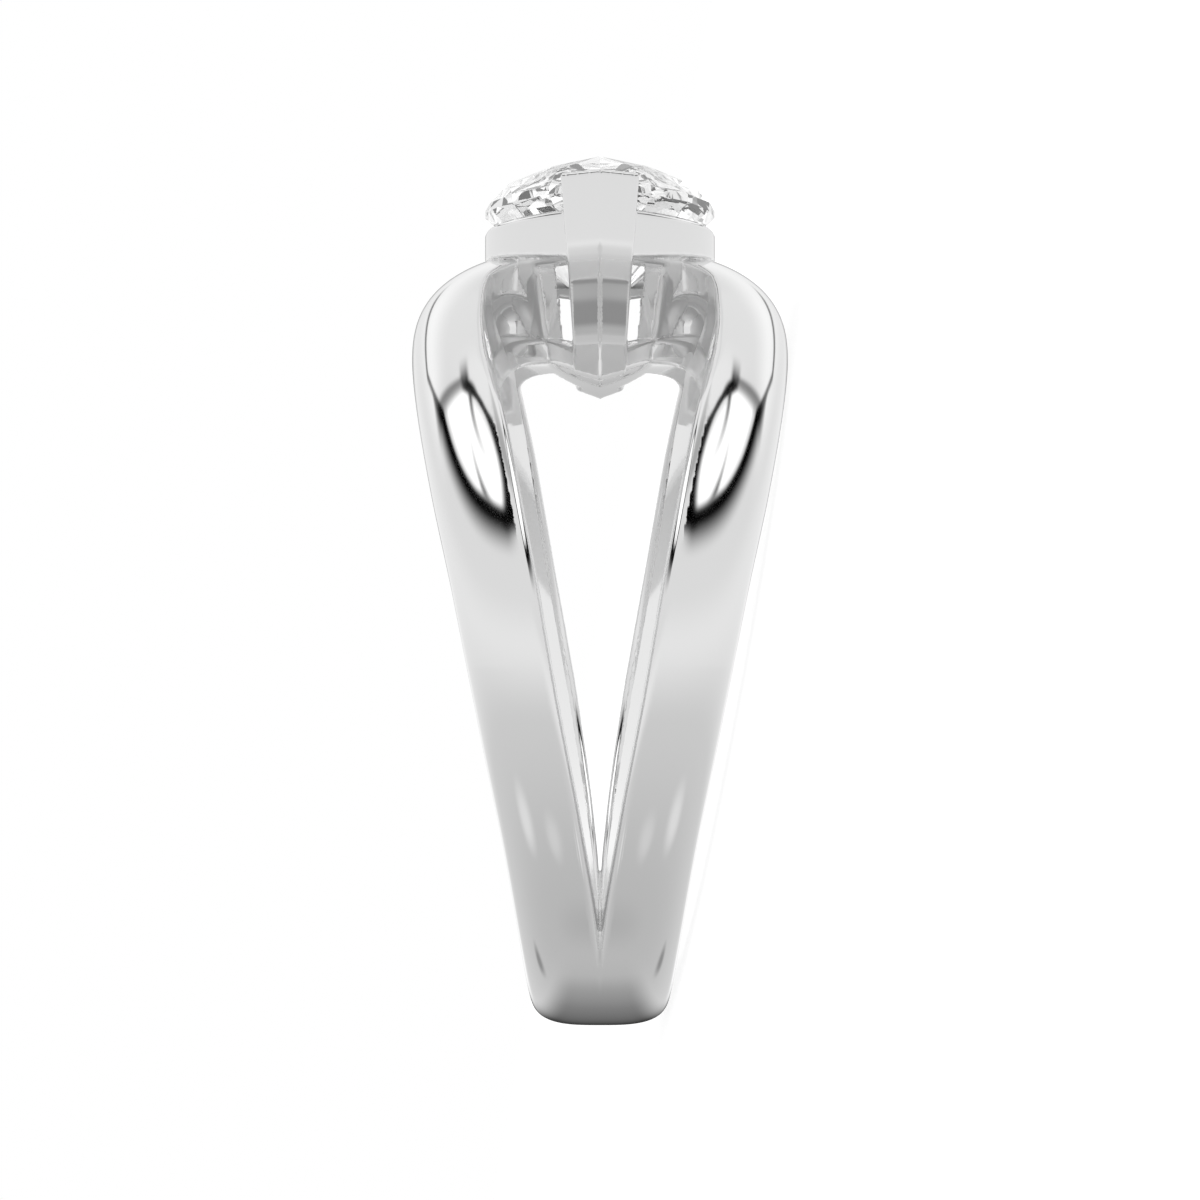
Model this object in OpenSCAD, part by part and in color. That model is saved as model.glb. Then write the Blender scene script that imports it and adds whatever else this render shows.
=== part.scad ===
// East west solitaire ring: a marquise diamond held by two V-prongs in a tapered basket,
// between the two branches of a split shank.
// The ring is drawn upright around its finger hole: X runs along the finger, Y along the
// stone and Z towards the stone. lay_down() then lays it on its right side, as a ring rests.

/* [Finger hole and band] */
// Inside diameter of the ring
finger_d = 17.3; // [16.5:0.1:18.2]
// Thickness of the band at its lowest point
band_t = 1.97; // [1.7:0.01:2.4]
// Width of the band at its lowest point
band_w = 3.92; // [3.4:0.02:4.4]
// Height of the domed band above the finger hole, under the seat
crest_t = 3.3; // [3:0.05:3.6]
// Width across both shoulders
shoulder_w = 10.6; // [10.2:0.1:11]

/* [Split] */
// Depth of the crotch of the split below the centre of the finger
crotch_drop = 6.9; // [6:0.1:7.4]
// Gap between the two branches beside the head
split_w = 6.1; // [5.8:0.05:6.3]
// How much narrower the split is on the finger side, on each side of the middle
split_lean = 0.25; // [0.1:0.05:0.4]
// The same beside the head
head_lean = 0.5; // [0.3:0.05:0.6]

/* [Stone] */
// Width of the stone
stone_w = 6.7; // [6.5:0.05:6.8]
// Length of the stone
stone_l = 13.3; // [12.8:0.1:13.5]
// Height of the girdle above the centre of the finger
girdle_z = 12.85; // [12.8:0.05:12.95]
// Thickness of the girdle
girdle_t = 0.22; // [0.14:0.02:0.26]
// Height of the crown above the girdle
crown_h = 0.97; // [0.85:0.02:1.1]
// Depth of the pavilion below the girdle
pavilion_h = 2.75; // [2.4:0.05:2.9]
// Width of the table as a share of the stone
table_share = 0.555; // [0.52:0.005:0.64]
// Length of the table as a share of the stone
table_long_share = 0.645; // [0.58:0.005:0.7]

/* [Head] */
// Height of the flat wall of the seat rail
rail_h = 0.9; // [0.7:0.05:1.1]
// Wall of the basket
wall_t = 0.5; // [0.4:0.05:0.6]
// Thickness of the lower rail over the finger
lower_rail_t = 0.7; // [0.6:0.05:0.8]
// Thickness of a prong outside the tip of the stone
prong_t = 0.5; // [0.4:0.05:0.6]
// Width of a prong at its top
prong_w = 2.15; // [1.9:0.05:2.4]
// Height of a prong above the girdle
prong_rise = 0.4; // [0.3:0.05:0.5]

/* [Hidden] */

finger_r = finger_d / 2;
table_z = girdle_z + girdle_t + crown_h;
seat_top_z = girdle_z - 0.45;
seat_low_z = seat_top_z - rail_h;
overlap = 0.01;

function blend(a, b, t) = a + (b - a) * t;
function at_height(outline, z) = [for (p = outline) [p[0], p[1], z]];

// Solid through closed outlines that have equal numbers of points
module loft(outlines) {
    rings = len(outlines);
    count = len(outlines[0]);
    sides = [for (i = [0 : rings - 2], j = [0 : count - 1])
        let (
            a = i * count,
            b = a + count,
            k = (j + 1) % count
        )
        each [[a + j, b + j, b + k], [a + j, b + k, a + k]]];
    ends = [
        [for (j = [0 : count - 1]) j],
        [for (j = [count - 1 : -1 : 0]) (rings - 1) * count + j]
    ];
    polyhedron(points = [for (outline = outlines) each outline],
        faces = concat(sides, ends), convexity = 8);
}

// Width of the band by the angle up from its lowest point, as a share of the spread from
// there to the shoulders, one every 20 degrees
width_share = [0, 0.019, 0.07, 0.178, 0.357, 0.557, 0.762, 0.912, 1, 1.03];

// Smooth value of a table with one entry every 20 degrees
function at_angle(table, angle) =
    let (
        place = min(angle, 179.999) / 20,
        low = floor(place),
        t = place - low,
        last = len(table) - 1,
        p0 = table[max(low - 1, 0)],
        p1 = table[low],
        p2 = table[min(low + 1, last)],
        p3 = table[min(low + 2, last)]
    )
    p1 + t * (p2 - p0) / 2
       + t * t * (p0 - 2.5 * p1 + 2 * p2 - p3 / 2)
       + t * t * t * (-p0 / 2 + 1.5 * p1 - 1.5 * p2 + p3 / 2);

function half_width(angle) =
    blend(band_w, shoulder_w, at_angle(width_share, angle)) / 2;

// Radius of the crown of the band, which is thickest under the seat
function crown_r(angle) =
    finger_r + blend(band_t, crest_t, (1 - cos(angle)) / 2);

// Radius at which the band is widest
function widest_r(angle) =
    finger_r + blend(0.85, 0.15, max(0, -cos(angle)));

// Squareness of the band's outer curve: 2 is an ellipse, and more is squarer
function squareness(angle) = blend(3.2, 2.45, (1 - cos(angle)) / 2);

// Inner edge of a branch on the outside of the ring: [height, distance from the middle]
split_edge = [
    [-crotch_drop - 0.1, 0],
    [-crotch_drop + 0.7, 0.1],
    [-crotch_drop + 2.0, 0.3],
    [-3.45, 0.54],
    [-0.9, 1.02],
    [2.7, 1.67],
    [6.2, 2.40],
    [8.4, split_w / 2 - 0.1],
    [9.4, split_w / 2 + 0.1],
    [10.4, split_w / 2 + 0.1],
    [11.3, split_w / 2 - 0.25]
];
function edge_at(z) = lookup(z, split_edge);
function lean_at(z) = lookup(z, [[2, split_lean], [8, head_lean]]);

// One cross-section of the right branch, as [distance along the finger, radius].
// Its inmost points lie inside the finger hole, which is bored afterwards.
section_steps = 9;
hidden_r = finger_r - 0.6;
function branch_section(angle) =
    let (
        w = half_width(angle),
        low = widest_r(angle),
        rise = crown_r(angle) - low,
        n = squareness(angle),
        first = edge_at(-crown_r(angle) * cos(angle)),
        first_rise = rise * pow(1 - pow(first / w, n), 1 / n),
        edge = edge_at(-(low + first_rise) * cos(angle)),
        reach = acos(pow(edge / w, n / 2)),
        finger_z = -finger_r * cos(angle),
        finger_edge = edge > 0 ? max(0.02, edge_at(finger_z) - lean_at(finger_z)) : 0
    )
    concat(
        [[w - 0.25, hidden_r]],
        [for (i = [0 : section_steps])
            let (turn = reach * i / section_steps)
            [w * pow(cos(turn), 2 / n), low + rise * pow(sin(turn), 2 / n)]],
        [[finger_edge, hidden_r]]
    );

band_rings = 60;
turns = [for (i = [0 : band_rings - 1]) 360 * i / band_rings];
sections = [for (turn = turns) branch_section(min(turn, 360 - turn))];

// Both branches and the plain band below the crotch, as one closed surface
module branches() {
    count = len(sections[0]);
    half = band_rings * count;
    function is_split(i) = sections[i][count - 1][0] > 0;
    points = [for (flip = [1, -1], i = [0 : band_rings - 1], p = sections[i])
        [flip * p[0], -p[1] * sin(turns[i]), -p[1] * cos(turns[i])]];
    faces = [for (i = [0 : band_rings - 1], j = [0 : count - 1])
        let (
            next = (i + 1) % band_rings,
            a = i * count + j,
            b = next * count + j,
            c = next * count + (j + 1) % count,
            d = i * count + (j + 1) % count
        )
        if (j != count - 2 || is_split(i) || is_split(next))
            each [
                [a, c, b], [a, d, c],
                [half + a, half + b, half + c], [half + a, half + c, half + d]
            ]];
    polyhedron(points = points, faces = faces, convexity = 10);
}

module finger_hole() {
    rotate([0, 90, 0])
        cylinder(r = finger_r, h = 30, center = true, $fn = 128);
}

// Everything within a distance of the finger hole, over a stretch of the finger
module over_finger(thickness, width) {
    rotate([0, 90, 0])
        cylinder(r = finger_r + thickness, h = width, center = true, $fn = 96);
}

// Outline of a marquise: two arcs that meet in a point at each end of Y. A place on it runs
// from 0 at the near tip over 1 at the right, 2 at the far tip and 3 at the left.
function marquise_point(half_w, half_l, place) =
    let (
        r = (half_w * half_w + half_l * half_l) / (2 * half_w),
        turn = asin(half_l / r) * (place < 2 ? place - 1 : 3 - place),
        x = r * cos(turn) - r + half_w
    )
    [place < 2 ? x : -x, r * sin(turn)];
function marquise(half_w, half_l, count = 24, shift = 0) =
    [for (i = [0 : count - 1]) marquise_point(half_w, half_l, (i + shift) * 4 / count)];

// The basket, from the lower rail to the seat rail: [height, half width, half length]
basket_steps = [
    [7.2, 1.85, 3.65],
    [8.9, 1.85, 3.75],
    [9.9, 2.3, 5.0],
    [10.8, 2.95, 6.15],
    [seat_low_z + overlap, 3.1, 6.45]
];
module basket_body() {
    loft([for (s = basket_steps) at_height(marquise(s[1], s[2]), s[0])]);
}

// Flat upright wall of the seat rail, under the girdle
module seat_rail() {
    translate([0, 0, seat_low_z])
        linear_extrude(height = rail_h)
            polygon(marquise(stone_w / 2, stone_l / 2 - 0.1, 48));
}

// The prong at the near tip: [height, reach of its crease, half width]
prong_reach = stone_l / 2 + prong_t;
prong_top_z = girdle_z + prong_rise;
prong_steps = [
    [7.2, 3.8, prong_w / 2 - 0.36],
    [8.95, 4.05, prong_w / 2 - 0.32],
    [10.45, 6.6, prong_w / 2 - 0.21],
    [10.8, 6.9, prong_w / 2 - 0.19],
    [11.3, prong_reach - 0.02, prong_w / 2 - 0.16],
    [11.7, prong_reach, prong_w / 2 - 0.12],
    [prong_top_z - 0.15, prong_reach, prong_w / 2],
    [prong_top_z, prong_reach - 0.2, prong_w / 2 - 0.08]
];
// How far its two outer faces run back for each millimetre across
crease_run = 0.74;
prong_depth = 2.3;
module prong() {
    loft([for (s = prong_steps)
        at_height([
            [0, -s[1]],
            [s[2], s[2] * crease_run - s[1]],
            [s[2], prong_depth - s[1]],
            [-s[2], prong_depth - s[1]],
            [-s[2], s[2] * crease_run - s[1]]
        ], s[0])]);
}

// Window in the basket wall between the near prong and the right shoulder
window_place = [1.75, -2.9];
window_turn = 33;
window_w = 2.0;
window_low_z = 8.4;
window_top_z = 11.0;
window_in = 1.6;
window_out = 0.9;
module window() {
    difference() {
        translate(window_place)
            rotate([0, 0, -window_turn])
                translate([-window_in, -window_w / 2, window_low_z])
                    cube([window_in + window_out, window_w, window_top_z - window_low_z]);
        over_finger(lower_rail_t, 20);
    }
}

// Lower rail, which joins both branches to the foot of the basket over the finger
bridge_w = 6.3;
bridge_l = 4.4;
module bridge() {
    intersection() {
        over_finger(lower_rail_t, bridge_w);
        translate([-bridge_w / 2, -bridge_l / 2, 7.5])
            cube([bridge_w, bridge_l, 3]);
    }
}

// Web between the right shoulder and the basket, with the arched pocket on each side of it
web_low_z = 8.6;
web_in = 1.5;
web_out = 3.4;
web_l = 3.8;
// Above the pockets the web is longer
web_arch_z = 10.4;
web_arch_h = 0.8;
web_arch_l = 5.6;
web_arch_in = 2.0;
web_arch_out = 3.2;
web_core_t = 0.8;
pocket_r = 0.68;
pocket_place = [2.5, 9.65];
module web() {
    translate([web_arch_in, -web_arch_l / 2, web_arch_z])
        cube([web_arch_out - web_arch_in, web_arch_l, web_arch_h]);
    difference() {
        translate([web_in, -web_l / 2, web_low_z])
            cube([web_out - web_in, web_l, seat_low_z - web_low_z + overlap]);
        for (flip = [0, 1])
            mirror([0, flip, 0])
                translate([pocket_place[0], -web_core_t / 2, pocket_place[1]])
                    rotate([90, 0, 0])
                        cylinder(r = pocket_r, h = web_l, $fn = 32);
    }
}

// Hollow of the basket and room for the stone, a hair wider than it
seat_gap = 0.04;
module hollow() {
    room_w = stone_w / 2 + seat_gap;
    room_l = stone_l / 2 + seat_gap * 2;
    loft(concat(
        [for (s = basket_steps)
            at_height(marquise(s[1] - wall_t, s[2] - wall_t * 2), s[0])],
        [
            at_height(marquise(room_w, room_l), girdle_z - seat_gap),
            at_height(marquise(room_w, room_l), girdle_z + girdle_t + seat_gap),
            at_height(marquise(room_w - 0.45, room_l - 0.85), prong_top_z + 0.35)
        ]
    ));
}

module metal() {
    color("gainsboro")
        lay_down()
            difference() {
                union() {
                    branches();
                    basket_body();
                    seat_rail();
                    prong();
                    mirror([0, 1, 0]) prong();
                    bridge();
                    web();
                    mirror([1, 0, 0]) web();
                }
                finger_hole();
                hollow();
                for (flip_x = [0, 1], flip_y = [0, 1])
                    mirror([flip_x, 0, 0]) mirror([0, flip_y, 0]) window();
            }
}

// Marquise brilliant: table, star, kite and girdle facets above, mains and girdle facets below
star_share = 0.835;
star_height = 0.605;
lower_share = 0.22;
lower_depth = 0.79;
module diamond() {
    half_w = stone_w / 2;
    half_l = stone_l / 2;
    crown_z = girdle_z + girdle_t;
    points = concat(
        at_height(marquise(half_w * table_share, half_l * table_long_share, 8), table_z),
        at_height(marquise(half_w * star_share, half_l * star_share, 8, 0.5),
            crown_z + crown_h * star_height),
        at_height(marquise(half_w, half_l, 16), crown_z),
        at_height(marquise(half_w, half_l, 16), girdle_z),
        at_height(marquise(half_w * lower_share, half_l * lower_share, 8, 0.5),
            girdle_z - pavilion_h * lower_depth),
        [[0, 0, girdle_z - pavilion_h]]
    );
    color("aliceblue")
        lay_down()
            hull()
                polyhedron(points = points,
                    faces = [for (i = [1 : len(points) - 2]) [0, i, i + 1]]);
}

// The ring touches the table with the bottom of the band and with both ends of a shoulder
touch_angle = 137;
touch_rise = 16.42;
side_lean = atan((half_width(touch_angle) - band_w / 2 + 0.01) / touch_rise);
foot = max([for (i = [0 : band_rings - 1], p = sections[i])
    p[0] * cos(side_lean) + p[1] * cos(turns[i]) * sin(side_lean)]);
low_end = min([for (p = sections[0], flip = [1, -1])
    flip * p[0] * sin(side_lean) - p[1] * cos(side_lean)]);
high_end = table_z * cos(side_lean) + stone_w / 2 * table_share * sin(side_lean);
module lay_down() {
    translate([-(low_end + high_end) / 2, 0, foot])
        rotate([0, 90 - side_lean, 0])
            children();
}

metal();
diamond();
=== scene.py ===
"""East west solitaire ring: polished metal and a marquise diamond on a pale studio floor.

The metal is a signed field, worked out in millimetres in the ring's own axes: X along the
finger, Y along the stone and Z towards the stone. It is meshed on a fine grid, and every
point is then moved onto the true surface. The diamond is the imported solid.
"""

import math

import bpy
import numpy as np
from mathutils import Matrix, Vector


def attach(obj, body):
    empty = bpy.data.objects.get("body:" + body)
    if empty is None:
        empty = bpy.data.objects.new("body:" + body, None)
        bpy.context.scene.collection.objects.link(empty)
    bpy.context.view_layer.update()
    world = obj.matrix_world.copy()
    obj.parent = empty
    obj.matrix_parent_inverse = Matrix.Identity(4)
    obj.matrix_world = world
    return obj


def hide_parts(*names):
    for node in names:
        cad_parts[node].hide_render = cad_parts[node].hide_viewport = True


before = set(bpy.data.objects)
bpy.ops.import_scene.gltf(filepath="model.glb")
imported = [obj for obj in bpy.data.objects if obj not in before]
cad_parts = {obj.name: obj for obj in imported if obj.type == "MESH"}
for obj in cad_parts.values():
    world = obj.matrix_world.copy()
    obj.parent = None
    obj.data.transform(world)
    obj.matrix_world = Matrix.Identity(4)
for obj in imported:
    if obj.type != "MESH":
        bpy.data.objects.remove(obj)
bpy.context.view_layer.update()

MM = 0.001

# Sizes of the ring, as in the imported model
FINGER_R = 8.65
BAND_T, BAND_W = 1.97, 3.92
CREST_T, SHOULDER_W = 3.3, 10.6
STONE_W, STONE_L = 6.7, 13.3
GIRDLE_Z, GIRDLE_T = 12.85, 0.22
SEAT_TOP, SEAT_LOW = 12.4, 11.5
WALL_T, LOWER_RAIL_T = 0.5, 0.7
PRONG_TOP = 13.25
WIDTH_SHARE = [0, 0.019, 0.07, 0.178, 0.357, 0.557, 0.762, 0.912, 1, 1.03]

# How the ring leans as it lies on its side, and where its axes' origin is
LEAN = math.radians(10.333397)
FOOT, SHIFT = 3.734104, -1.780121
SIN, COS = math.sin(LEAN), math.cos(LEAN)


def to_world(points):
    """Points of the ring in metres as it lies on the floor."""
    x, y, z = np.asarray(points, float).T
    return np.stack([x * SIN + z * COS + SHIFT, y, FOOT + z * SIN - x * COS], 1) * MM


def turn_to_world(directions):
    """Directions in the ring's axes as directions in the world."""
    x, y, z = np.asarray(directions, float).T
    return np.stack([x * SIN + z * COS, y, z * SIN - x * COS], 1)


# Curves that a table gives
def soft_curve(table, window=0.5):
    """A table of (place, value) pairs as a finely sampled curve with rounded corners."""
    step = 0.02
    places, values = np.array(table, float).T
    fine = np.arange(places[0], places[-1] + step, step)
    reach = max(1, round(window / step / 2))
    weights = np.hanning(2 * reach + 3)[1:-1]
    level = np.pad(np.interp(fine, places, values), reach, "reflect", reflect_type="odd")
    return fine, np.convolve(level, weights / weights.sum(), "valid")


def along(curve, places):
    return np.interp(places, curve[0], curve[1])


def at_angle(table, angle):
    """Smooth value of a table with one entry every 20 degrees."""
    table = np.array(table, float)
    place = np.minimum(angle, 179.999) / 20
    low = np.floor(place).astype(int)
    t = place - low
    last = len(table) - 1
    p0 = table[np.maximum(low - 1, 0)]
    p1 = table[low]
    p2 = table[np.minimum(low + 1, last)]
    p3 = table[np.minimum(low + 2, last)]
    return (
        p1
        + t * (p2 - p0) / 2
        + t * t * (p0 - 2.5 * p1 + 2 * p2 - p3 / 2)
        + t**3 * (-p0 / 2 + 1.5 * p1 - 1.5 * p2 + p3 / 2)
    )


def blend(a, b, t):
    return a + (b - a) * t


# Ways to put signed distances together, with a round edge of a given radius
def keep(a, b, radius):
    """What lies in both a and b."""
    return np.minimum(-radius, np.maximum(a, b)) + np.hypot(
        np.maximum(a + radius, 0), np.maximum(b + radius, 0)
    )


def cut(a, b, radius):
    """What lies in a and not in b."""
    return keep(a, -b, radius)


def join(a, b, radius):
    """What lies in a or b, with a fillet where they meet."""
    return -keep(-a, -b, radius)


# The band and its two branches
SPLIT_EDGE = soft_curve(
    [
        (-11.0, -0.50),
        (-7.4, 0),
        (-6.2, 0.15),
        (-4.9, 0.36),
        (-3.45, 0.60),
        (-0.9, 1.08),
        (2.7, 1.70),
        (6.2, 2.40),
        (8.4, 2.95),
        (9.4, 3.15),
        (10.4, 3.15),
        (11.3, 2.8),
        (12.6, 2.3),
    ],
    1.2,
)
SPLIT_LEAN = soft_curve(
    [
        (-11, 0.0),
        (-7.4, 0.01),
        (-6.4, 0.075),
        (-4.6, 0.175),
        (-2.8, 0.245),
        (-0.9, 0.31),
        (2.7, 0.28),
        (6, 0.4),
        (8, 0.5),
        (13, 0.5),
    ],
    0.8,
)
SPLIT_ROUND = soft_curve(
    [(-11, 0.26), (2, 0.26), (7, 0.3), (8.4, 0.42), (9.2, 0.3), (10, 0.2), (13, 0.2)]
)
FINGER_ROUND = 0.2
# At the bottom and at the top: how far out the band is widest, and how square its section is
WIDEST_AT = (0.85, 0.15)
SQUARENESS = (3.2, 2.45)
INSIDE_NARROW = 0.25


def band(x, y, z, r):
    """Distance to the band as if it had no split, and how far out the split reaches."""
    turn = np.degrees(np.arctan2(y, -z))
    cosine = np.cos(np.radians(turn))
    half = blend(BAND_W, SHOULDER_W, at_angle(WIDTH_SHARE, turn)) / 2
    low = FINGER_R + blend(*WIDEST_AT, np.maximum(0, -cosine))
    rise = FINGER_R + blend(BAND_T, CREST_T, (1 - cosine) / 2) - low
    power = blend(*SQUARENESS, (1 - cosine) / 2)
    narrow = INSIDE_NARROW * np.clip((low - r) / (low - FINGER_R + 0.6), 0, 1) ** 2
    across = x / (half - narrow) + 1e-6
    out = np.maximum(r - low, 0) / rise + 1e-6
    size = (across**power + out**power) ** (1 / power)
    slope_x = (across / size) ** (power - 1) / half
    slope_r = (out / size) ** (power - 1) / rise
    body = (size - 1) / np.hypot(slope_x, slope_r)
    depth = np.clip((r - FINGER_R) / (rise * 0.9), 0, 1)
    wall = along(SPLIT_EDGE, z) - along(SPLIT_LEAN, z) * (1 - depth)
    return body, wall


# The head
BASKET_W = soft_curve([(6, 1.9), (8.9, 1.9), (9.9, 2.35), (10.8, 2.95), (11.5, 3.1), (13, 3.3)])
BASKET_L = soft_curve([(6, 3.6), (8.9, 3.75), (9.9, 5.0), (10.8, 6.15), (11.5, 6.45), (13, 6.6)])
PRONG_REACH = soft_curve(
    [
        (6, 3.7),
        (8.85, 3.95),
        (8.98, 4.05),
        (9.4, 4.68),
        (9.9, 5.55),
        (10.45, 6.6),
        (10.9, 7.0),
        (11.3, 7.13),
        (15, 7.15),
    ],
    0.4,
)
PRONG_HALF = soft_curve([(6, 0.70), (8.9, 0.755), (11, 0.89), (13.3, 1.075), (15, 1.1)])
HEAD_FOOT = 7.2
CREASE_RUN = 0.74
PRONG_DEPTH = 2.3
WINDOW_EDGE = soft_curve([(8, 1.5), (9.24, 1.62), (11.0, 1.84), (12, 1.95)])
WINDOW_TOP, WINDOW_LEAN = 11.0, 1.1
ARM_HALF = 1.65
FILLET = soft_curve([(6, 1.3), (8.6, 1.3), (9.6, 0.9), (14, 0.9)])
WEB_FRONT = soft_curve(
    [
        (6, 1.9),
        (9.2, 2.0),
        (9.9, 2.42),
        (10.4, 2.85),
        (10.8, 3.1),
        (11.1, 3.25),
        (11.3, 3.45),
        (11.45, 3.75),
        (11.6, 4.2),
    ],
    0.3,
)
POCKET_X, POCKET_Z, POCKET_R = 2.48, 9.65, 0.68
POCKET_L = 3.8
WEB_CORE = 0.5
RAIL_L = STONE_L / 2 - 0.1
RAIL_ARCH, RAIL_ARCH_L = 0.45, 5.7
RAIL_ROUND, WINDOW_ROUND, EDGE_ROUND = 0.16, 0.14, 0.1
SEAT_GAP = 0.04


def lens(x, y, half_w, half_l):
    """Distance to a marquise outline in the plane."""
    r = (half_w**2 + half_l**2) / (2 * half_w)
    return np.hypot(x + r - half_w, y) - r


def basket_outside(x, y, z):
    """Distance to the outer face of the flared basket."""
    return lens(x, y, along(BASKET_W, z), along(BASKET_L, z)) * 0.9


def basket(x, y, z):
    """The flared basket with its seat rail."""
    wall = keep(basket_outside(x, y, z), z - SEAT_LOW - 0.1, 0.02)
    rail_low = SEAT_LOW - RAIL_ARCH * (y / RAIL_ARCH_L) ** 2
    rail = keep(lens(x, y, STONE_W / 2, RAIL_L), z - SEAT_TOP, RAIL_ROUND)
    rail = keep(rail, rail_low - z, EDGE_ROUND)
    return np.maximum(np.minimum(wall, rail), HEAD_FOOT - z)


def prong(x, y, z):
    """One V-prong, whose two faces meet in a crease at x = 0."""
    reach = along(PRONG_REACH, z)
    faces = (y - reach + CREASE_RUN * x) / np.sqrt(1 + CREASE_RUN**2)
    steep = np.interp(z, [8.8, 9.1, 10.3, 11.2], [1.0, 0.6, 0.6, 1.0])
    solid = keep(faces * steep, x - along(PRONG_HALF, z), 0.05)
    solid = keep(solid, z - PRONG_TOP - 0.05, EDGE_ROUND)
    return np.maximum(solid, np.maximum(reach - PRONG_DEPTH - y, HEAD_FOOT - z))


def stone_room(x, y, z):
    """The hollow of the basket, with a seat that holds the stone a hair's breadth clear."""
    half_w = along(BASKET_W, z) - WALL_T
    half_l = along(BASKET_L, z) - 2 * WALL_T
    seat_w, seat_l = STONE_W / 2 + SEAT_GAP, STONE_L / 2 + 2 * SEAT_GAP
    share = np.clip((z - SEAT_LOW) / (GIRDLE_Z - SEAT_LOW), 0, 1)
    share = np.where(z > GIRDLE_Z - SEAT_GAP, 1, share)
    over = np.maximum(z - GIRDLE_Z - GIRDLE_T - SEAT_GAP, 0)
    wide = blend(half_w, seat_w, share) - 0.6 * over
    long = blend(half_l, seat_l, share) - 1.2 * over
    return np.maximum(lens(x, y, wide, long) * 0.85, HEAD_FOOT - 0.2 - z)


def window(x, y, z, r):
    """The opening beside a prong, whose far side leans in through the basket's wall."""
    depth = np.clip(basket_outside(x, y, z), -0.7, 0)
    opening = keep(x - along(WINDOW_EDGE, z) - WINDOW_LEAN * depth, z - WINDOW_TOP, 0.05)
    opening = np.maximum(opening, HEAD_FOOT - z)
    return keep(opening, FINGER_R + LOWER_RAIL_T - r, 0.05)


def bridge(x, y, z, r):
    """What fills the split under the head: the lower rail and the web above its ends."""
    arm = keep(y - ARM_HALF, r - FINGER_R - LOWER_RAIL_T, 0.08)
    web = np.maximum(y - along(WEB_FRONT, z), z - SEAT_LOW - 0.1) * 0.8
    web = np.maximum(web, -0.3 - basket_outside(x, y, z))
    under_rail = lens(x, y, STONE_W / 2, RAIL_L) - 1.2 * np.maximum(11.4 - z, 0)
    web = keep(web, under_rail, EDGE_ROUND)
    return join(np.maximum(arm, 6 - z), web, 0.2)


def pocket(x, y, z, r):
    """The scooped hollow beside the web, over the lower rail."""
    back = np.minimum(y - WEB_CORE - POCKET_R, 0)
    beside = np.where((x < POCKET_X) & (back == 0) & (z < POCKET_Z), 0, x - POCKET_X)
    scoop = np.hypot(np.hypot(beside, back), np.maximum(z - POCKET_Z, 0)) - POCKET_R
    scoop = keep(scoop, FINGER_R + LOWER_RAIL_T - r, EDGE_ROUND)
    return np.maximum(scoop, np.maximum(y - POCKET_L, HEAD_FOOT - z))


def field(x, y, z):
    """Signed distance to the metal, nearly true close to its surface."""
    x, y = np.abs(x), np.abs(y)
    r = np.hypot(y, z)
    solid, wall = band(x, y, z, r)
    split = keep(x - wall, -bridge(x, y, z, r), along(FILLET, z))
    metal = cut(solid, split, along(SPLIT_ROUND, z))
    metal = cut(metal, pocket(x, y, z, r), EDGE_ROUND)
    metal = np.minimum(metal, basket(x, y, z))
    metal = cut(metal, window(x, y, z, r), WINDOW_ROUND)
    metal = np.minimum(metal, prong(x, y, z))
    metal = cut(metal, stone_room(x, y, z), SEAT_GAP)
    return keep(metal, FINGER_R - r, FINGER_ROUND)


# Meshing
PITCH = 0.08
GRID_X, GRID_Y, GRID_LOW, GRID_HIGH = 5.6, 11.5, -10.9, 13.6
STEPS_TO_SURFACE, LARGEST_STEP = 4, 0.04


def grid_surface(values, start, pitch):
    """Points and four-sided faces of the surface where values pass zero on a grid."""
    inside = values < 0
    nx, ny, nz = values.shape
    corners = [(i, j, k) for i in (0, 1) for j in (0, 1) for k in (0, 1)]

    def part(array, corner):
        i, j, k = corner
        return array[i : nx - 1 + i, j : ny - 1 + j, k : nz - 1 + k]

    count = sum(part(inside, c).astype(np.int8) for c in corners)
    active = (count > 0) & (count < 8)
    cell = np.stack(np.nonzero(active), 1)
    number = np.full(active.shape, -1, np.int32)
    number[active] = np.arange(len(cell))
    total = np.zeros((len(cell), 3))
    crossings = np.zeros(len(cell))
    for a in corners:
        for axis in range(3):
            if a[axis]:
                continue
            b = list(a)
            b[axis] = 1
            va = part(values, a)[active]
            vb = part(values, b)[active]
            crossed = (va < 0) != (vb < 0)
            t = va / np.where(crossed, va - vb, 1)
            place = np.array(a, float) + np.zeros((len(cell), 3))
            place[:, axis] = t
            total += np.where(crossed[:, None], place, 0)
            crossings += crossed
    points = (cell + total / crossings[:, None]) * pitch + start

    faces = []
    for axis in range(3):
        u, v = (axis + 1) % 3, (axis + 2) % 3
        low = [slice(None)] * 3
        high = [slice(None)] * 3
        low[axis] = slice(0, -1)
        high[axis] = slice(1, None)
        first, second = inside[tuple(low)], inside[tuple(high)]
        crossed = first != second
        edge = np.stack(np.nonzero(crossed), 1)
        outward = first[crossed]
        edge_ok = (edge[:, u] > 0) & (edge[:, v] > 0)
        edge, outward = edge[edge_ok], outward[edge_ok]
        quad = []
        for du, dv in ((-1, -1), (0, -1), (0, 0), (-1, 0)):
            c = edge.copy()
            c[:, u] += du
            c[:, v] += dv
            quad.append(number[c[:, 0], c[:, 1], c[:, 2]])
        quad = np.stack(quad, 1)
        faces.append(np.where(outward[:, None], quad, quad[:, ::-1]))
    return points, np.concatenate(faces)


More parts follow.
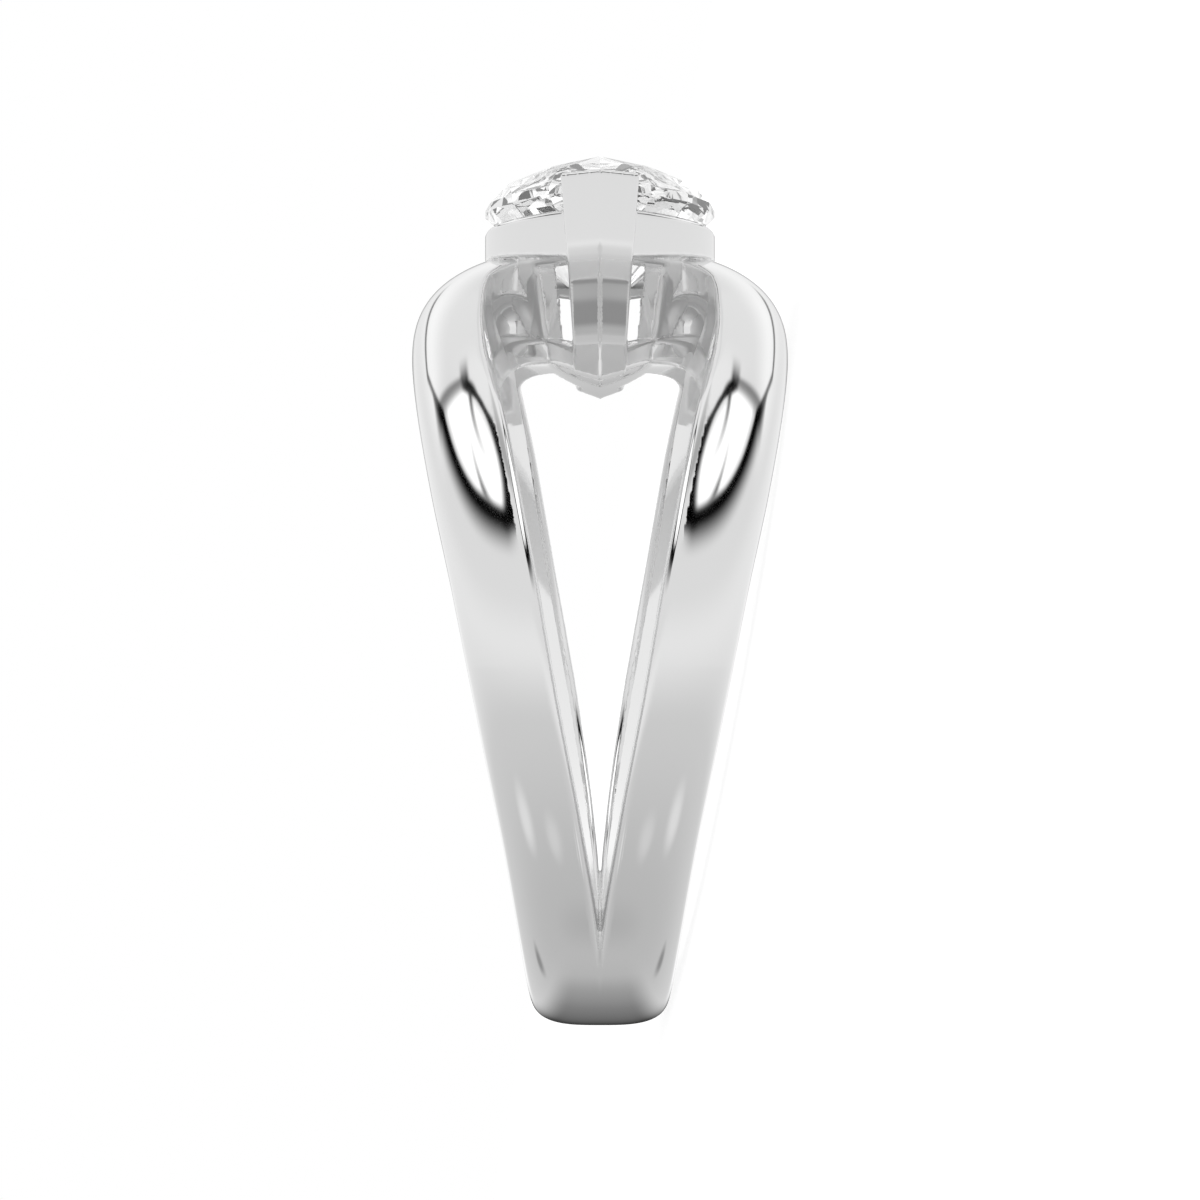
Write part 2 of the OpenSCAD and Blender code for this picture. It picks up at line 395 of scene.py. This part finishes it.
def slope_at(points, step=0.01):
    """How the field changes along each axis."""
    x, y, z = points.T
    return np.stack(
        [
            field(x + step, y, z) - field(x - step, y, z),
            field(x, y + step, z) - field(x, y - step, z),
            field(x, y, z + step) - field(x, y, z - step),
        ],
        1,
    ) / (2 * step)


def metal_surface():
    """Points, faces and normals of the whole metal."""
    xs = np.arange(0.5, GRID_X / PITCH) * PITCH
    ys = np.arange(0.5, GRID_Y / PITCH) * PITCH
    zs = np.arange(GRID_LOW, GRID_HIGH, PITCH)
    quarter = field(*np.meshgrid(xs, ys, zs, indexing="ij")).astype(np.float32)
    half = np.concatenate([quarter[::-1], quarter], 0)
    whole = np.concatenate([half[:, ::-1], half], 1)
    start = np.array([-xs[-1], -ys[-1], zs[0]])
    points, faces = grid_surface(whole, start, PITCH)
    for _ in range(STEPS_TO_SURFACE):
        slope = slope_at(points)
        size = np.maximum((slope**2).sum(1), 0.25)
        x, y, z = points.T
        move = field(x, y, z) / size
        points = points - slope * np.clip(move, -LARGEST_STEP, LARGEST_STEP)[:, None]
    normals = slope_at(points, 0.02)
    return points, faces, normals / np.linalg.norm(normals, axis=1)[:, None]


def add_mesh(name, points, faces, material):
    mesh = bpy.data.meshes.new(name)
    mesh.from_pydata(points, [], faces)
    mesh.materials.append(material)
    piece = bpy.data.objects.new(name, mesh)
    bpy.context.collection.objects.link(piece)
    return piece


# Nodes
class NodeKit:
    """Adds nodes to one node tree. Their inputs take numbers or other nodes' outputs."""

    def __init__(self, tree):
        self.nodes = tree.nodes
        self.links = tree.links

    def feed(self, socket, value):
        if isinstance(value, bpy.types.NodeSocket):
            self.links.new(value, socket)
        else:
            socket.default_value = value

    def add(self, kind, inputs=None, operation=None):
        node = self.nodes.new(kind)
        if operation:
            node.operation = operation
        for name, value in (inputs or {}).items():
            self.feed(node.inputs[name], value)
        return node

    def calc(self, operation, a, b=0.0, c=0.0):
        return self.add("ShaderNodeMath", {0: a, 1: b, 2: c}, operation).outputs[0]

    def vector_calc(self, operation, a, b, c=(0, 0, 0)):
        return self.add("ShaderNodeVectorMath", {0: a, 1: b, 2: c}, operation)

    def ramp(self, value, low, high, from_value=0.0, to_value=1.0, style="SMOOTHSTEP"):
        """Runs from one number to another while value runs from low to high."""
        limits = {"From Min": low, "From Max": high, "To Min": from_value, "To Max": to_value}
        node = self.add("ShaderNodeMapRange", {"Value": value, **limits})
        node.interpolation_type = style
        return node.outputs["Result"]

    def haze(self, scale, detail, low, high):
        """A fine random change between two numbers over the piece."""
        place = self.add("ShaderNodeTexCoord").outputs["Object"]
        noise = self.add("ShaderNodeTexNoise", {"Vector": place, "Scale": scale, "Detail": detail})
        return self.ramp(noise.outputs["Fac"], 0.0, 1.0, low, high, "LINEAR")


def new_material(name):
    """A material, what adds its nodes, and its shader's inputs."""
    material = bpy.data.materials.new(name)
    material.use_nodes = True
    shader = material.node_tree.nodes["Principled BSDF"]
    return material, NodeKit(material.node_tree), shader.inputs


# Materials
WHITE = (1, 1, 1, 1)
METAL_SHINE = 0.82
METAL_HAZE_SCALE, METAL_HAZE_DETAIL = 900, 3
METAL_ROUGHNESS = (0.05, 0.08)
METAL_IN_METAL_ROUGHNESS, METAL_IN_METAL_PAINTED_GLOW = 0.4, 0.09
STONE_HAZE_SCALE, STONE_HAZE_DETAIL = 500, 2
STONE_ROUGHNESS = (0.0, 0.004)
STONE_IOR = 2.42
# The cells of painted sparkle that a trapped ray ends on: how many to a metre, and how dim and
# bright their painted glow is
CELLS, CELL_GLOW_DIM, CELL_GLOW_BRIGHT = 900, 0.02, 0.8
FLOOR_GREY, FLOOR_GLOW, FLOOR_ROUGHNESS = 0.35, 0.75, 0.9


def polished_metal():
    material, kit, shader = new_material("polished_white_gold")
    shader["Base Color"].default_value = (METAL_SHINE, METAL_SHINE, METAL_SHINE, 1)
    shader["Metallic"].default_value = 1
    roughness = kit.haze(METAL_HAZE_SCALE, METAL_HAZE_DETAIL, *METAL_ROUGHNESS)
    # Metal seen in metal is softer, so that hollows don't fill with specks, and a painted white glow
    # makes it a little lighter
    in_metal = kit.add("ShaderNodeLightPath").outputs["Is Glossy Ray"]
    roughness = kit.calc("MULTIPLY_ADD", in_metal, METAL_IN_METAL_ROUGHNESS, roughness)
    kit.feed(shader["Roughness"], roughness)
    shader["Emission Color"].default_value = WHITE
    kit.feed(shader["Emission Strength"], kit.calc("MULTIPLY", in_metal, METAL_IN_METAL_PAINTED_GLOW))
    return material


def clear_diamond():
    material, kit, shader = new_material("clear_diamond")
    shader["Base Color"].default_value = WHITE
    shader["Transmission Weight"].default_value = 1
    shader["IOR"].default_value = STONE_IOR
    roughness = kit.haze(STONE_HAZE_SCALE, STONE_HAZE_DETAIL, *STONE_ROUGHNESS)
    kit.feed(shader["Roughness"], roughness)
    # A ray that the facets keep inside ends on one of them, which glows with a painted sparkle,
    # bright or dark by its place
    surface = kit.add("ShaderNodeNewGeometry").outputs
    cell = kit.vector_calc("MULTIPLY_ADD", surface["Position"], (CELLS,) * 3, surface["True Normal"])
    cell = kit.vector_calc("SNAP", cell.outputs["Vector"], (1, 1, 1))
    chance = kit.add("ShaderNodeTexWhiteNoise", {"Vector": cell.outputs["Vector"]}).outputs["Value"]
    painted_sparkle = kit.ramp(chance, 0.25, 0.55, CELL_GLOW_DIM, CELL_GLOW_BRIGHT)
    bounces = kit.add("ShaderNodeLightPath").outputs["Ray Depth"]
    trapped = kit.ramp(bounces, 5.2, 5.8, style="LINEAR")
    shader["Emission Color"].default_value = WHITE
    kit.feed(shader["Emission Strength"], kit.calc("MULTIPLY", painted_sparkle, trapped))
    return material


def pale_floor():
    material, kit, shader = new_material("pale_floor")
    shader["Roughness"].default_value = FLOOR_ROUGHNESS
    shader["Base Color"].default_value = (FLOOR_GREY, FLOOR_GREY, FLOOR_GREY, 1)
    shader["Emission Color"].default_value = WHITE
    shader["Emission Strength"].default_value = FLOOR_GLOW
    return material


# A dark card close under the band, which shows only in the metal: a painted reflection of the
# floor's shade under the band. Its painted shade runs along it
CARD_Z, CARD_SIDE = -12.0, 6.0
CARD_FROM, CARD_TO = -7.0, 12.5
CARD_PAINTED_SHADE_LEVELS = [(0.1, 0.42), (0.17, 0.31), (0.26, 0.2), (0.31, 0.165), (0.5, 0.045), (1, 0.02)]
CARD_HALF_WIDTHS = (0.133, 0.5)


def painted_shade_card():
    material, kit, shader = new_material("painted_shade_card")
    shader["Base Color"].default_value = (0, 0, 0, 1)
    shader["Specular IOR Level"].default_value = 0
    shader["Emission Strength"].default_value = 1 / METAL_SHINE
    place = kit.add("ShaderNodeTexCoord").outputs["Generated"]
    parts = kit.add("ShaderNodeSeparateXYZ", {0: place}).outputs
    levels = kit.add("ShaderNodeValToRGB", {"Fac": parts["Y"]})
    marks = levels.color_ramp.elements
    for number, (stop, level) in enumerate(CARD_PAINTED_SHADE_LEVELS):
        mark = marks[number] if number < 2 else marks.new(stop)
        mark.position = stop
        mark.color = (level, level, level, 1)
    kit.feed(shader["Emission Color"], levels.outputs["Color"])
    begins = kit.ramp(parts["Y"], 0.02, 0.16)
    half_width = kit.ramp(parts["Y"], 0.0, 1.0, *CARD_HALF_WIDTHS, "LINEAR")
    aside = kit.calc("DIVIDE", kit.calc("SUBTRACT", parts["Z"], 0.5), half_width)
    fades = kit.ramp(kit.calc("ABSOLUTE", aside), 0.4, 1.0, 1.0, 0.0)
    kit.feed(shader["Alpha"], kit.calc("MULTIPLY", begins, fades))
    return material


points, faces, normals = metal_surface()
metal = add_mesh("polished_metal", to_world(points).tolist(), faces.tolist(), polished_metal())
metal.data.shade_smooth()
metal.data.normals_split_custom_set_from_vertices(turn_to_world(normals).tolist())
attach(metal, "root")
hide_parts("metal")
# Seen through the stone, the hollow under it would only be dark
metal.visible_transmission = False

stone = bpy.data.objects["diamond"]
stone.data.materials.clear()
stone.data.materials.append(clear_diamond())

SQUARE = [(-1, -1), (1, -1), (1, 1), (-1, 1)]
FLOOR_SIDE = 3.0
floor_corners = [(x * FLOOR_SIDE, y * FLOOR_SIDE, 0) for x, y in SQUARE]
floor = add_mesh("floor", floor_corners, [(0, 1, 2, 3)], pale_floor())
floor.visible_glossy = False

# The card of painted shade under the band, seen only in the metal
card_corners = [(x * CARD_SIDE, CARD_FROM if y < 0 else CARD_TO, CARD_Z) for x, y in SQUARE]
card = add_mesh("painted_shade_card", to_world(card_corners).tolist(), [(0, 1, 2, 3)], painted_shade_card())
card.visible_camera = False
card.visible_diffuse = False
card.visible_transmission = False
card.visible_shadow = False

# Studio light: soft greys all round, with one bright window and its dark frame up on each side
world = bpy.data.worlds.new("studio")
bpy.context.scene.world = world
world.use_nodes = True
sky = NodeKit(world.node_tree)
calc, ramp = sky.calc, sky.ramp


def paint(under, over, share):
    """Lays one brightness over another by a share from 0 to 1."""
    return calc("MULTIPLY_ADD", calc("SUBTRACT", over, under), share, under)


def ring_axis(direction):
    """How far the ray points along an axis of the ring."""
    along_axis = sky.vector_calc("DOT_PRODUCT", ray, turn_to_world([direction])[0])
    return along_axis.outputs["Value"]


ray = sky.add("ShaderNodeTexCoord").outputs["Generated"]
sideways = calc("ABSOLUTE", ring_axis((1, 0, 0)))
round_angle = calc("DEGREES", calc("ARCTAN2", sideways, ring_axis((0, -1, 0))))
height = calc("DEGREES", calc("ARCSINE", ring_axis((0, 0, 1))))

# Levels by height in degrees, dimmer high up on the camera's side and lighter on the back wall
studio = ramp(height, -90, -76, 0.42, 0.47)
studio = calc("ADD", studio, ramp(height, -80, -15, 0.0, 0.12))
studio = calc("ADD", studio, ramp(height, -25, -2, 0.0, 0.18))
studio = calc("ADD", studio, ramp(height, -2, 12, 0.0, -0.07))
studio = calc("ADD", studio, ramp(height, 35, 58, 0.0, 0.1))
dim_side = calc("MULTIPLY", ramp(round_angle, 25, 75, 0.75, 0.0), ramp(height, 42, 56))
studio = paint(studio, 0.25, calc("MULTIPLY", dim_side, ramp(height, 60, 88, 1.0, 0.45)))
back_wall = calc("MULTIPLY", ramp(round_angle, 100, 130), ramp(height, 6, 26))
wall_level = calc("ADD", ramp(height, 22, 40, 0.9, 0.74), ramp(round_angle, 152, 170, 0.0, -0.07))
studio = paint(studio, wall_level, back_wall)

# Soft reflectors and two dark cards: [round angle, height, half width, half height, brightness]
REFLECTORS = [
    (170, -9, 24, 9, 0.9),
    (57, -48, 14, 12, 0.7),
    (24, -58, 9, 10, 0.6),
    (141, -52, 13, 4.5, 0.26),
    (180, 2, 13, 16, 0.06),
]
for across, up, half_w, half_h, level in REFLECTORS:
    off_x = calc("DIVIDE", calc("SUBTRACT", round_angle, across), half_w)
    off_y = calc("DIVIDE", calc("SUBTRACT", height, up), half_h)
    off = calc("SQRT", calc("ADD", calc("POWER", off_x, 2), calc("POWER", off_y, 2)))
    studio = paint(studio, level, ramp(off, 0.2, 1.1, 1.0, 0.0))


def line_through(at_angle_round, at_height, slope):
    """Height of a line through one point that rises by slope for each degree round."""
    return calc("MULTIPLY_ADD", round_angle, slope, at_height - slope * at_angle_round)


def stripe(off_line, above, below, core, share=1.0):
    """A dark line whose edges fade out at the given distances above and below it."""
    up = calc("DIVIDE", off_line, above)
    down = calc("DIVIDE", calc("MULTIPLY", off_line, -1), below)
    return ramp(calc("MAXIMUM", up, down), core, 1.0, share, 0.0)


# The window: an arch on the camera's side that ends in a sharp corner towards the back
SILL, WINDOW_MIDDLE = 31, 75
ARCH_W, ARCH_H, ARCH_POWER = 44, 25, 2.2
SIDE_AT, SIDE_HEIGHT, SIDE_SLOPE = 104, 48, -0.6
GLASS_LEVEL, FRAME_LEVEL, BAR_LEVEL = 1.15, 0.0, 0.05
arch_x = calc("DIVIDE", calc("MAXIMUM", calc("SUBTRACT", WINDOW_MIDDLE, round_angle), 0), ARCH_W)
arch_y = calc("DIVIDE", calc("MAXIMUM", calc("SUBTRACT", height, SILL), 0), ARCH_H)
arch = calc("ADD", calc("POWER", arch_x, ARCH_POWER), calc("POWER", arch_y, ARCH_POWER))
over_arch = calc("MULTIPLY", calc("SUBTRACT", calc("POWER", arch, 1 / ARCH_POWER), 1), 28)
past_middle = calc("MAXIMUM", calc("SUBTRACT", round_angle, WINDOW_MIDDLE), 0)
droop = calc("MULTIPLY", calc("POWER", calc("MINIMUM", past_middle, 24), 2), 0.0085)
over_top = calc("ADD", calc("SUBTRACT", height, SILL + ARCH_H), droop)
over_frame = paint(over_arch, over_top, ramp(round_angle, 68, 80))
side_at = calc("MULTIPLY_ADD", height, SIDE_SLOPE, SIDE_AT - SIDE_SLOPE * SIDE_HEIGHT)
past_side = calc("SUBTRACT", round_angle, side_at)
above_sill = ramp(height, 31.5, 34.5)
glass = calc("MULTIPLY", ramp(over_frame, -4.5, -1.2, 1.0, 0.0), above_sill)
glass = calc("MULTIPLY", glass, ramp(past_side, -8, -2, 1.0, 0.0))
studio = paint(studio, GLASS_LEVEL, glass)

# Its frame, thick at the sides and thin at the top, where it runs on a little past the corner
frame_half = calc("ADD", ramp(round_angle, 30, 72, 5.0, 1.6), ramp(round_angle, 82, 97, 0.0, 2.2))
frame_line = ramp(calc("ABSOLUTE", calc("DIVIDE", over_frame, frame_half)), 0.35, 1.0, 1.0, 0.0)
frame_line = calc("MULTIPLY", frame_line, ramp(height, 26, 31))
frame_line = calc("MULTIPLY", frame_line, ramp(round_angle, 98, 118, 1.0, 0.0))
studio = paint(studio, FRAME_LEVEL, frame_line)
side_line = stripe(past_side, 4.0, 9.0, 0.0, 0.75)
side_line = calc("MULTIPLY", side_line, ramp(over_frame, -2.0, 0.5, 1.0, 0.0))
studio = paint(studio, BAR_LEVEL, calc("MULTIPLY", side_line, ramp(height, 22, 27)))

# Two bars inside it
bar_half = ramp(round_angle, 40, 66, 4.2, 2.0)
off_low_bar = calc("SUBTRACT", height, line_through(47, 31.5, 0.42))
low_bar = stripe(off_low_bar, bar_half, bar_half, 0.0)
low_bar = calc("MULTIPLY", low_bar, ramp(round_angle, 50, 82, 0.95, 0.0))
low_bar = calc("MULTIPLY", low_bar, above_sill)
high_bar = stripe(calc("SUBTRACT", height, line_through(57, 45, 0.22)), 2.2, 2.2, 0.0)
high_bar = calc("MULTIPLY", high_bar, ramp(round_angle, 45, 92))
bars = calc("MAXIMUM", low_bar, calc("MULTIPLY", high_bar, ramp(past_side, -6, 0, 1.0, 0.0)))
studio = paint(studio, BAR_LEVEL, calc("MULTIPLY", bars, ramp(over_frame, -2.0, 0.5, 1.0, 0.0)))

# Dark rail under the window, which runs on as a thin line towards the back
past_corner = calc("MAXIMUM", calc("SUBTRACT", round_angle, 111), 0)
rail_at = calc("MULTIPLY_ADD", past_corner, -0.35, line_through(45, 31.2, -0.035))
rail_at = calc("MAXIMUM", rail_at, 18.4)
off_rail = calc("SUBTRACT", height, rail_at)
thin = ramp(round_angle, 112, 130)
rail_above = calc("ADD", ramp(round_angle, 50, 66, 3.8, 2.4), ramp(round_angle, 112, 135, 0.0, -1.0))
rail_below = paint(12.0, 1.8, thin)
rail = stripe(off_rail, rail_above, rail_below, 0.12)
rail = calc("MULTIPLY", rail, ramp(round_angle, 24, 33))
rail = calc("MULTIPLY", rail, paint(1.0, 0.8, thin))
rail = calc("MULTIPLY", rail, ramp(round_angle, 162, 169, 1.0, 0.0))
studio = paint(studio, FRAME_LEVEL, rail)
studio = calc("DIVIDE", studio, METAL_SHINE)

# The floor is lit evenly, and the background is plain white
kind = sky.add("ShaderNodeLightPath").outputs
studio = paint(studio, 1.0, kind["Is Camera Ray"])
studio = paint(studio, 1.0, kind["Is Diffuse Ray"])
# Light that has come through the stone is brighter and broken up by dark cards
cards = calc("SINE", calc("MULTIPLY", height, 0.21))
cards = calc("MULTIPLY", cards, calc("SINE", calc("MULTIPLY", round_angle, 0.17)))
cards = ramp(cards, 0.45, 0.6, 1.0, 0.25)
through_stone = calc("MULTIPLY", calc("MULTIPLY_ADD", studio, 1.6, 0.1), cards)
studio = paint(studio, through_stone, kind["Is Transmission Ray"])
sky.feed(sky.nodes["Background"].inputs["Color"], studio)
bpy.context.scene.view_settings.view_transform = "Standard"

# Camera: it looks along the stone, level with the table, and the ring stands up in its view
CAMERA_PLACE = (0, -88, 1.7)
PIXELS_ACROSS, FOCAL_PIXELS = 1200, 3009.6
SENSOR_W = 36
camera_data = bpy.data.cameras.new("camera")
camera_data.sensor_width = SENSOR_W
camera_data.lens = SENSOR_W * FOCAL_PIXELS / PIXELS_ACROSS
camera_data.clip_start = 0.01
camera_data.clip_end = 20
camera = bpy.data.objects.new("camera", camera_data)
bpy.context.collection.objects.link(camera)
right, up, back = (Vector(turn_to_world([d])[0]) for d in ((1, 0, 0), (0, 0, 1), (0, -1, 0)))
camera.matrix_world = Matrix.Translation(to_world([CAMERA_PLACE])[0]) @ Matrix(
    (right, up, back)
).transposed().to_4x4()
bpy.context.scene.camera = camera
